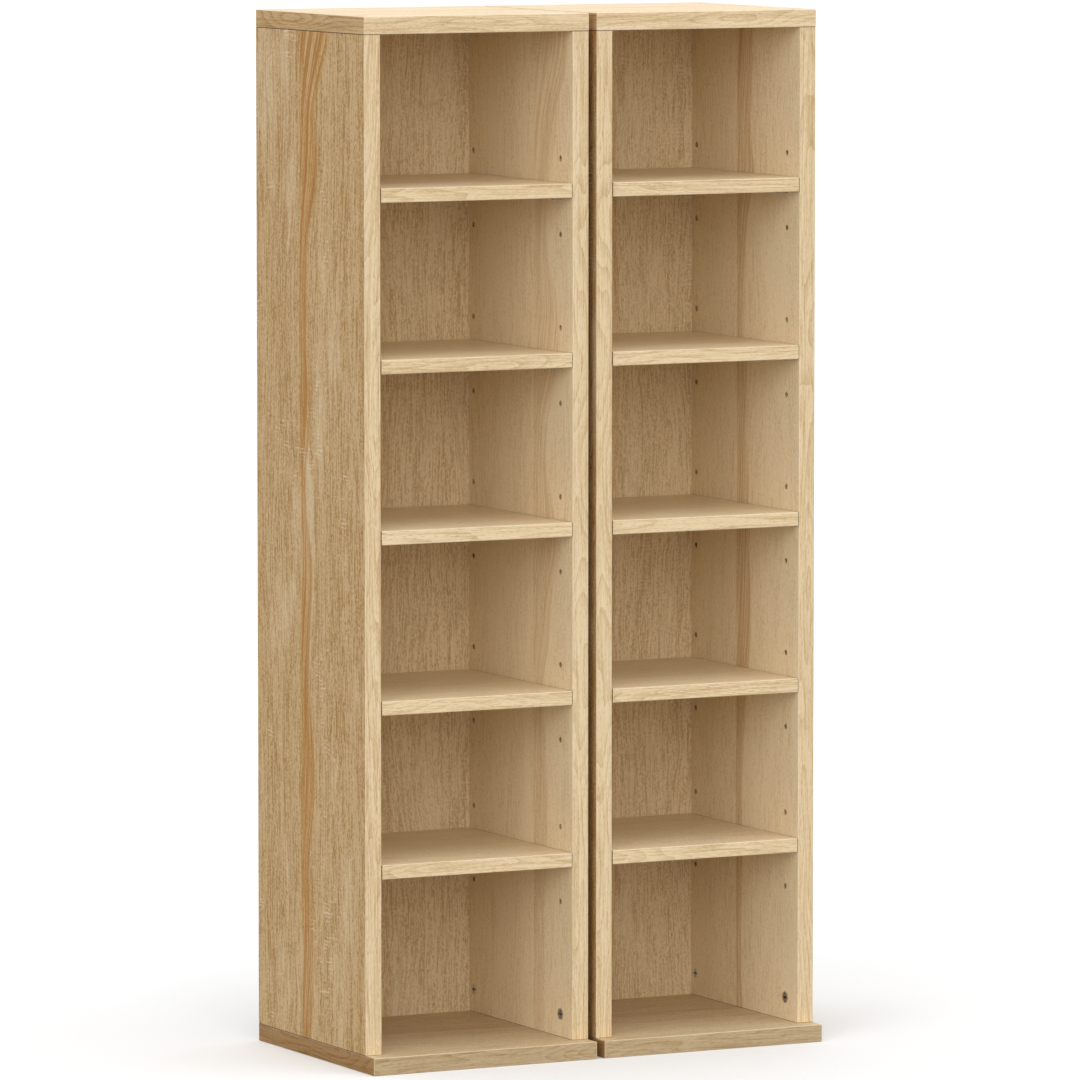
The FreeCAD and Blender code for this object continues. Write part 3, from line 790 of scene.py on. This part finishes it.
def profile_rows(points, step):
    """A (height, radius) outline filled in so that no two rows along it lie more than a step apart."""
    heights, radii = [points[0][0]], [points[0][1]]
    for (h0, r0), (h1, r1) in zip(points, points[1:]):
        count = max(1, math.ceil(abs(h1 - h0) / step))
        way = np.arange(1, count + 1) / count
        heights.extend(h0 + (h1 - h0) * way)
        radii.extend(r0 + (r1 - r0) * way)
    return np.array(heights), np.array(radii)


def helix_cut(heights, columns, pitch, depth, low, high):
    """How far a thread cuts in at each height and angle.

    The groove is a cosine of the height in pitches less the angle in turns, and it fades out over one
    pitch at the thread's two ends.
    """
    turn = np.arange(columns) / columns
    wave = 0.5 - 0.5 * np.cos(2 * np.pi * (heights[:, None] / pitch - turn[None, :]))
    fade = np.clip((heights - low) / pitch, 0, 1) * np.clip((high - heights) / pitch, 0, 1)
    return depth * wave * fade[:, None]


def fluted_dowels(tower, kind, material):
    """Four dowels whose radius dips at each flute as a raised cosine of the angle, with chamfered ends."""
    fittings = bpy.context.scene.towers_fittings
    feet, radius, tall = four_fittings(tower_node(tower, kind))
    chamfer = fittings.dowel_chamfer
    heights, radii = profile_rows(
        [(0, radius - chamfer), (chamfer, radius), (tall - chamfer, radius), (tall, radius - chamfer)],
        tall / 6,
    )
    columns = fittings.dowel_flutes * FLUTE_COLUMNS
    angle = np.arange(columns) * 2 * np.pi / columns
    dip = fittings.flute_depth * (0.5 - 0.5 * np.cos(angle * fittings.dowel_flutes)) ** 2
    full = np.clip((radii - (radius - chamfer)) / chamfer, 0, 1)
    radii = radii[:, None] - full[:, None] * dip
    remake(tower, kind, "fluted", material, feet, heights, radii)


def threaded_bolts(tower, kind, material):
    """Four bolts: a threaded shank, a collar, a neck and a barrel-shaped head.

    The outline goes from the lower end up, with the collar's and the head's sizes from the frame's bolt,
    and helix_cut cuts the thread into the shank.
    """
    fittings = bpy.context.scene.towers_fittings
    feet, collar, tall = four_fittings(tower_node(tower, kind))
    shank_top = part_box(tower_node(tower, "base_panel"))[1].z - feet[0][2]
    shank, neck, head = collar - 0.3 * MM, collar / 2, collar - 0.5 * MM
    chamfer, collar_top, head_low, bevel = 0.5 * MM, shank_top + 4 * MM, tall - 4.4 * MM, 1.3 * MM
    outline = [
        (0, shank - chamfer), (chamfer, shank), (shank_top, shank), (shank_top, collar),
        (collar_top, collar), (collar_top, neck), (head_low, neck), (head_low + bevel, head),
        (tall - bevel, head), (tall, neck),
    ]
    pitch, depth = fittings.bolt_pitch, fittings.bolt_thread_depth
    heights, radii = profile_rows(outline, pitch / ROWS_A_TURN)
    cut = helix_cut(heights, THREAD_COLUMNS, pitch, depth, 0, shank_top)
    cut[heights > shank_top - HAIR] = 0
    remake(tower, kind, "threaded", material, feet, heights, radii[:, None] - cut)


def threaded_screws(tower, kind, material):
    """Four countersunk screws with a hexagon socket.

    From the point up the outline follows the thread, the shank and the head's cone, then turns in over the
    flat of the head and down the socket, whose radius is its half width over the cosine of the angle from
    the nearest flat's middle.
    """
    fittings = bpy.context.scene.towers_fittings
    feet, head, tall = four_fittings(tower_node(tower, kind))
    shank, cone, point, least_core = 2.5 * MM, 2.6 * MM, 4 * MM, 0.15 * MM
    thread_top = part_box(tower_node(tower, "top_panel"))[0].z - feet[0][2]
    socket_half, socket_depth = 1.5 * MM, 2 * MM
    outline = [(0, shank * 0.3), (point, shank), (tall - cone, shank), (tall, head)]
    pitch, depth = fittings.screw_pitch, fittings.screw_thread_depth
    heights, radii = profile_rows(outline, pitch / ROWS_A_TURN)
    cut = helix_cut(heights, THREAD_COLUMNS, pitch, depth, -point, thread_top)
    angle = np.arange(THREAD_COLUMNS) * 2 * np.pi / THREAD_COLUMNS
    flat = np.pi / 3
    hexagon = socket_half / np.cos((angle + flat / 2) % flat - flat / 2)
    outside = np.maximum(radii[:, None] - cut, least_core)
    radii = np.concatenate([outside, [hexagon, hexagon]])
    heights = np.concatenate([heights, [tall, tall - socket_depth]])
    remake(tower, kind, "threaded", material, feet, heights, radii)


# The floor, the lamps and the camera


def seen_directly(g):
    """1 for what the camera sees, straight on or in a gloss or through glass, and 0 for scattered light."""
    ray = g.add("ShaderNodeLightPath").outputs
    gloss = g.math("MAXIMUM", ray["Is Glossy Ray"], ray["Is Transmission Ray"])
    return g.math("MAXIMUM", ray["Is Camera Ray"], gloss)


def add_floor(studio):
    """A wide level floor. The camera sees its pale colour, and its bounced light is a darker grey's."""
    reach = 60.0
    corners = [(-reach, -reach, 0), (reach, -reach, 0), (reach, reach, 0), (-reach, reach, 0)]
    mesh = bpy.data.meshes.new("floor")
    mesh.from_pydata(corners, [], [(0, 1, 2, 3)])
    floor = bpy.data.objects.new("floor", mesh)
    bpy.context.scene.collection.objects.link(floor)
    material, g, shader, _ = new_material("floor_paper")
    seen = seen_directly(g)
    bounce = (studio.floor_bounce,) * 3
    g.feed(shader.inputs["Base Color"], g.blend(seen, bounce, studio.floor))
    shader.inputs["Roughness"].default_value = 0.9
    shader.inputs["Specular IOR Level"].default_value = 0.1
    mesh.materials.append(material)


def add_lights(studio):
    """Even light from all round, white where the camera sees it, and four soft lamps."""
    world = bpy.data.worlds.new("studio")
    bpy.context.scene.world = world
    world.use_nodes = True
    world.node_tree.nodes.clear()
    g = Graph(world.node_tree)
    background = g.add("ShaderNodeBackground")
    background.inputs["Color"].default_value = (1, 1, 1, 1)
    g.feed(background.inputs["Strength"], g.between(seen_directly(g), studio.room_light, 1.0))
    g.feed(g.add("ShaderNodeOutputWorld").inputs["Surface"], background.outputs[0])

    for name in ("side", "front", "fill", "top"):
        light = bpy.data.lights.new(name, "SUN")
        light.energy = getattr(studio, f"{name}_strength")
        light.angle = getattr(studio, f"{name}_width")
        lamp = bpy.data.objects.new(name, light)
        shines_from = Vector(getattr(studio, f"{name}_from"))
        lamp.rotation_euler = shines_from.to_track_quat("Z", "Y").to_euler()
        bpy.context.scene.collection.objects.link(lamp)


def add_camera(studio):
    """The camera at the photograph's place and angle."""
    lens = bpy.data.cameras.new("camera")
    lens.lens = studio.focal_length
    lens.sensor_width = 36.0
    lens.clip_end = 200.0
    camera = bpy.data.objects.new("camera", lens)
    camera.location = studio.camera_place
    camera.rotation_euler = (math.pi / 2 - studio.camera_pitch, 0, -studio.camera_yaw)
    bpy.context.scene.collection.objects.link(camera)
    bpy.context.scene.camera = camera


# One operator for each group of like pieces

# The side boards' own prints. Seeds only have to differ from board to board.
SIDE_PRINTS = {
    (1, "left"): dict(Seed=1.8, Heart=0.016, Fan=0.235, Streak=1.0),
    (1, "right"): dict(Seed=5.6, Heart=-0.036, Fan=-0.205, Streak=0.6),
    (2, "left"): dict(Seed=5.5, Heart=-0.048, Fan=-0.315, Streak=0.6),
    (2, "right"): dict(Seed=9.3, Heart=0.004, Fan=0.125, Streak=1.0),
}
# For the top and base boards, the sign of the face against the sides, and their own prints. The top's paler
# tone with less contrast is painted light on its top face, and the base's Shade and deeper tone are painted
# shade.
LEVEL_PRINTS_AND_LIGHT = {
    "top_panel": (-1.0, dict(Silver=0.0, Tone=0.85, Contrast=0.55)),
    "base_panel": (1.0, dict(Shade=0.9, Silver=0.3, Tone=0.74, Contrast=1.1)),
}


class TowersGrain(bpy.types.Operator):
    """Make the oak print and the chipboard core that the boards share"""

    bl_idname = "towers.grain"
    bl_label = "Oak print"

    def execute(self, context):
        oak = context.scene.towers_oak
        oak_foil(oak)
        chipboard(oak)
        return {"FINISHED"}


class TowersSides(bpy.types.Operator):
    """Finish the side boards, with the grain upright and the outer faces in the deeper tan, which is partly
    painted shade
    """

    bl_idname = "towers.sides"
    bl_label = "Side boards"

    def execute(self, context):
        for tower in TOWERS:
            for side, sign in (("left", -1.0), ("right", 1.0)):
                finish_board(
                    tower_node(tower, f"{side}_side_panel"), grain="z", face_axis="x",
                    covered={"x": "both", "y": "low"}, outer=(("x", sign),),
                    joints=(("z", -1.0), ("z", 1.0)), **SIDE_PRINTS[tower, side],
                )
        return {"FINISHED"}


class TowersTopAndBase(bpy.types.Operator):
    """Finish the top and base boards, taped on all four edges"""

    bl_idname = "towers.top_and_base"
    bl_label = "Top and base boards"

    def execute(self, context):
        for tower in TOWERS:
            for number, board in enumerate(LEVEL_PRINTS_AND_LIGHT):
                joint_side, own_print = LEVEL_PRINTS_AND_LIGHT[board]
                finish_board(
                    tower_node(tower, board), grain="x", face_axis="z",
                    covered={"x": "both", "y": "both", "z": "both"}, outer=(("x", -1.0), ("x", 1.0)),
                    joints=(("z", joint_side),), Seed=40.3 + 5.1 * tower + 2.3 * number,
                    Heart=0.03, Fan=0.04, Streak=0.4, **own_print,
                )
        return {"FINISHED"}


class TowersShelves(bpy.types.Operator):
    """Finish the loose shelves, taped on the front edge only"""

    bl_idname = "towers.shelves"
    bl_label = "Shelves"

    def execute(self, context):
        for tower in TOWERS:
            for shelf in SHELVES:
                finish_board(
                    tower_node(tower, f"shelf_{shelf}"), grain="x", face_axis="z",
                    covered={"y": "low", "z": "both"}, joints=(("x", -1.0), ("x", 1.0)),
                    Seed=70.9 + 8.3 * tower + 1.7 * shelf, Tone=0.88,
                )
        return {"FINISHED"}


class TowersBacks(bpy.types.Operator):
    """Finish the thin back panels"""

    bl_idname = "towers.backs"
    bl_label = "Back panels"

    def execute(self, context):
        for tower in TOWERS:
            finish_back(tower_node(tower, "back_panel"), seed=55.0 + 6.1 * tower)
        return {"FINISHED"}


class TowersPins(bpy.types.Operator):
    """Finish the half-round shelf pins in zinc-plated steel"""

    bl_idname = "towers.pins"
    bl_label = "Shelf pins"

    def execute(self, context):
        steel = steel_material()
        for tower in TOWERS:
            for shelf in SHELVES:
                give(tower_node(tower, f"shelf_{shelf}_pins"), steel)
        return {"FINISHED"}


class TowersCams(bpy.types.Operator):
    """Finish the cams in dull cast zinc"""

    bl_idname = "towers.cams"
    bl_label = "Cams"

    def execute(self, context):
        for tower in TOWERS:
            give(tower_node(tower, "cam_locks"), cam_material(tower))
        return {"FINISHED"}


class TowersBolts(bpy.types.Operator):
    """Make the cam bolts again with their threads"""

    bl_idname = "towers.bolts"
    bl_label = "Cam bolts"

    def execute(self, context):
        steel = steel_material()
        for tower in TOWERS:
            threaded_bolts(tower, "cam_bolts", steel)
        return {"FINISHED"}


class TowersScrews(bpy.types.Operator):
    """Make the top screws again with their threads and hexagon sockets"""

    bl_idname = "towers.screws"
    bl_label = "Top screws"

    def execute(self, context):
        steel = steel_material()
        for tower in TOWERS:
            threaded_screws(tower, "top_screws", steel)
        return {"FINISHED"}


class TowersDowels(bpy.types.Operator):
    """Make the dowels again with their flutes"""

    bl_idname = "towers.dowels"
    bl_label = "Dowels"

    def execute(self, context):
        beech = beech_material()
        for tower in TOWERS:
            fluted_dowels(tower, "base_dowels", beech)
            fluted_dowels(tower, "top_dowels", beech)
        return {"FINISHED"}


class TowersPlugs(bpy.types.Operator):
    """Finish the plugs over the top screws"""

    bl_idname = "towers.plugs"
    bl_label = "Cover plugs"

    def execute(self, context):
        plastic = plug_material()
        for tower in TOWERS:
            give(tower_node(tower, "cover_plugs"), plastic)
        return {"FINISHED"}


class TowersStage(bpy.types.Operator):
    """Make the floor, the soft lamps and the camera"""

    bl_idname = "towers.stage"
    bl_label = "Studio"

    def execute(self, context):
        studio = context.scene.towers_studio
        add_floor(studio)
        add_lights(studio)
        add_camera(studio)
        return {"FINISHED"}


class TowersPanel(bpy.types.Panel):
    """The towers' settings and steps in the sidebar"""

    bl_idname = "VIEW3D_PT_towers"
    bl_label = "Media tower pair"
    bl_space_type = "VIEW_3D"
    bl_region_type = "UI"
    bl_category = "Towers"

    def draw(self, context):
        for name, kind in SETTINGS.items():
            box = self.layout.box()
            box.label(text=name.removeprefix("towers_").capitalize())
            for setting in kind.__annotations__:
                box.prop(getattr(context.scene, name), setting)
        for operator in OPERATORS:
            self.layout.operator(operator.bl_idname)


OPERATORS = (
    TowersGrain,
    TowersSides,
    TowersTopAndBase,
    TowersShelves,
    TowersBacks,
    TowersPins,
    TowersCams,
    TowersBolts,
    TowersScrews,
    TowersDowels,
    TowersPlugs,
    TowersStage,
)
SETTINGS = {
    "towers_oak": OakSettings,
    "towers_fittings": FittingSettings,
    "towers_studio": StudioSettings,
}


def register():
    """Registers the settings, the operators and the panel."""
    for name, kind in SETTINGS.items():
        bpy.utils.register_class(kind)
        setattr(bpy.types.Scene, name, PointerProperty(type=kind))
    for kind in (*OPERATORS, TowersPanel):
        bpy.utils.register_class(kind)


def unregister():
    """Takes back what register did."""
    for kind in reversed((*OPERATORS, TowersPanel)):
        bpy.utils.unregister_class(kind)
    for name, kind in reversed(SETTINGS.items()):
        delattr(bpy.types.Scene, name)
        bpy.utils.unregister_class(kind)


def main():
    """Runs every step in order."""
    register()
    bpy.context.scene.view_settings.view_transform = "Standard"
    for operator in OPERATORS:
        group, name = operator.bl_idname.split(".")
        getattr(getattr(bpy.ops, group), name)()


if __name__ == "__main__":
    main()
